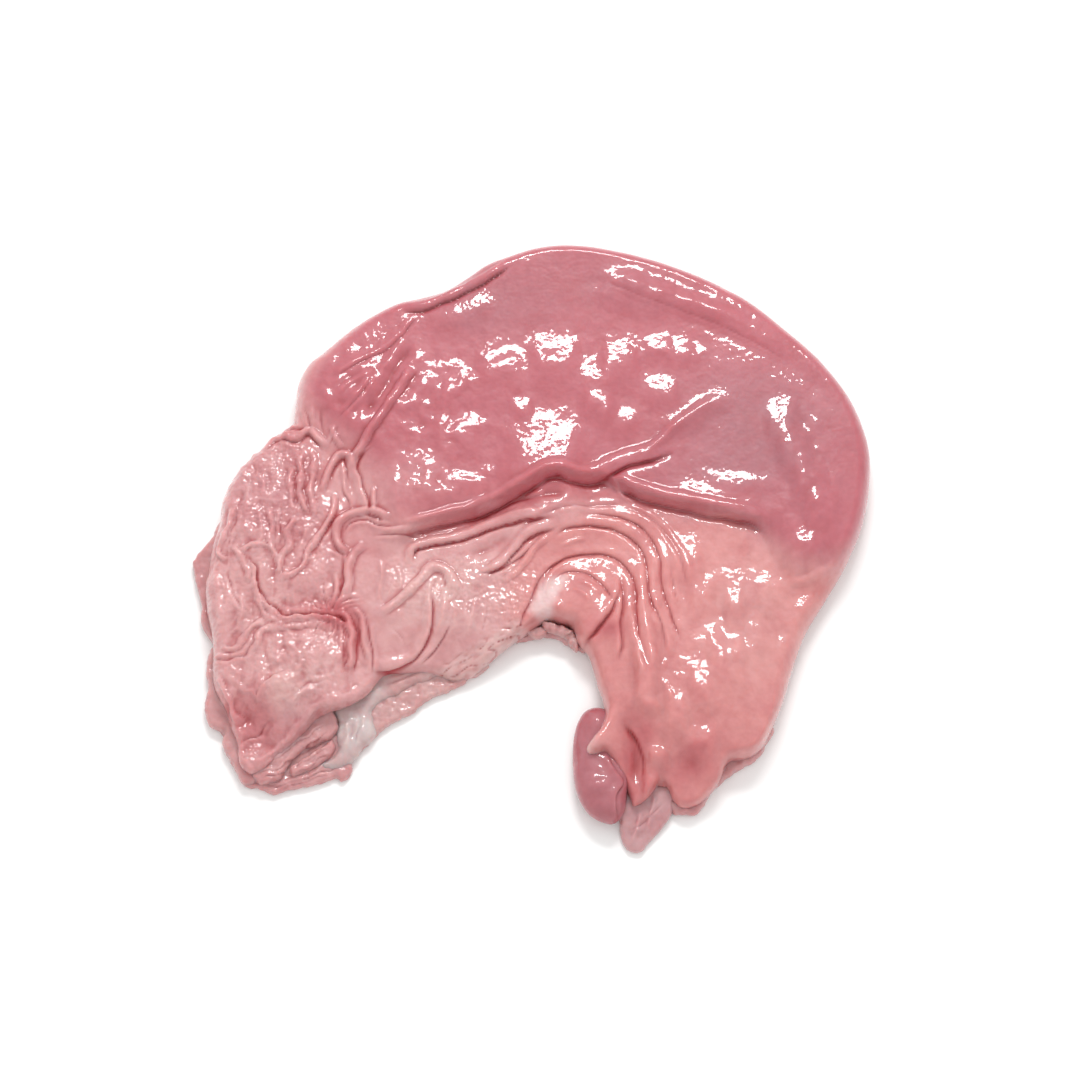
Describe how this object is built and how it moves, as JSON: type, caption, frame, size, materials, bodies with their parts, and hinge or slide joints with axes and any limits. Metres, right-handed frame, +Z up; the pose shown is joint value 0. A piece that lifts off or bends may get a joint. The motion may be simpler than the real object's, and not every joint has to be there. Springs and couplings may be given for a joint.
{
  "type": "pork stomach",
  "caption": "Raw pig's stomach, turned inside out and emptied, lying flat in a C shape with its folded wet lining outwards.",
  "frame": {"origin": "on the table, under the middle of the stomach's bounding box", "axes": "+Z up from the table, +X from the pale cardiac lobe to the broad body of the stomach, +Y from the open bay of the C to the greater curvature"},
  "size_m": [0.297, 0.283, 0.0241],
  "materials": {
    "stomach": "wet gloss"
  },
  "bodies": {
    "root": {"stomach": "stomach"}
  },
  "joints": []
}
